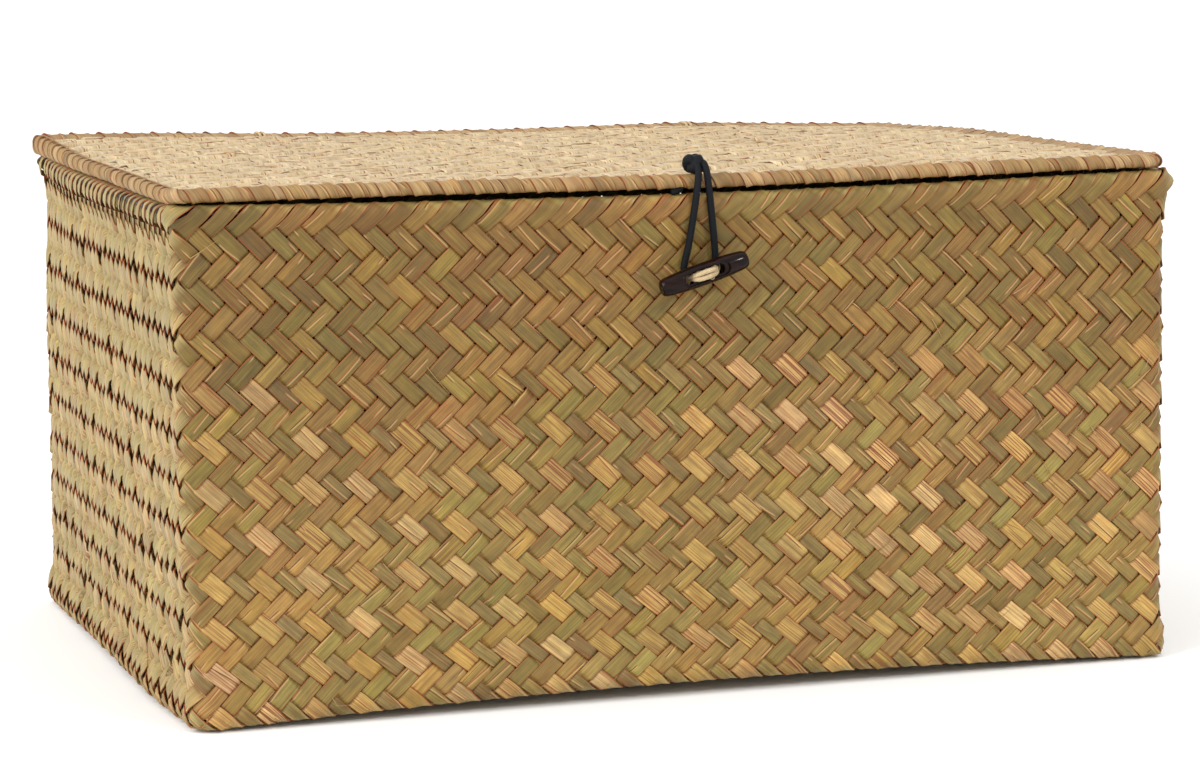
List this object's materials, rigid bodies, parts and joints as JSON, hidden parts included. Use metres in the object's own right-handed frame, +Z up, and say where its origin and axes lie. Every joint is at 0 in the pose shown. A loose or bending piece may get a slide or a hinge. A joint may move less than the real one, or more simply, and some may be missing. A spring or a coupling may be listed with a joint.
{
  "type": "lidded storage basket",
  "caption": "Rectangular basket plaited from flat rush strands on a wire frame, with a hinged plaited lid and an elastic loop over a toggle.",
  "frame": {"origin": "centre of the underside, on the surface the basket stands on", "axes": "+X along the front to the right as seen from the front, +Y towards the hinges at the rear, +Z up"},
  "size_m": [0.385, 0.2947, 0.1983],
  "materials": {
    "rush": "dry flat rush strands in a 2/2 twill plait, olive tan with straw-coloured strands and orange-brown edge streaks",
    "wire": "plain drawn steel wire, slightly dull",
    "twine": "pale beige two-ply plant twine with loose fibres",
    "toggle_wood": "very dark brown hardwood, polished and varnished",
    "elastic": "black braided cover over a round elastic cord, matt"
  },
  "bodies": {
    "basket": {"woven_body": "rush", "rim_wire": "wire", "base_wire": "wire", "corner_post_front_left": "wire", "corner_post_front_right": "wire", "corner_post_rear_left": "wire", "corner_post_rear_right": "wire", "hinge_tie_left": "twine", "hinge_tie_right": "twine", "lashing_knot": "twine"},
    "lid": {"lid_panel": "rush", "lid_wire": "wire", "elastic_knot": "elastic", "elastic_tail": "elastic"},
    "toggle": {"toggle": "toggle_wood", "toggle_lashing": "twine"},
    "elastic": {"elastic_loop": "elastic"}
  },
  "joints": [
    {"name": "lid_hinge", "type": "hinge", "parent": "basket", "child": "lid", "pos_m": [0, 0.1408, 0.18725], "axis": [-1, 0, 0], "range_deg": [0, 190], "deforming": ["hinge_tie_left", "hinge_tie_right"]},
    {"name": "toggle_swivel", "type": "hinge", "parent": "basket", "child": "toggle", "pos_m": [0.001, -0.1476, 0.1564], "axis": [0, -1, 0], "range_deg": [-106.7, 73.3]},
    {"name": "elastic_swing", "type": "hinge", "parent": "lid", "child": "elastic", "pos_m": [0.0028, -0.1412, 0.1922], "axis": [-1, 0, 0], "range_deg": [0, 180], "deforming": ["elastic_loop"]}
  ]
}
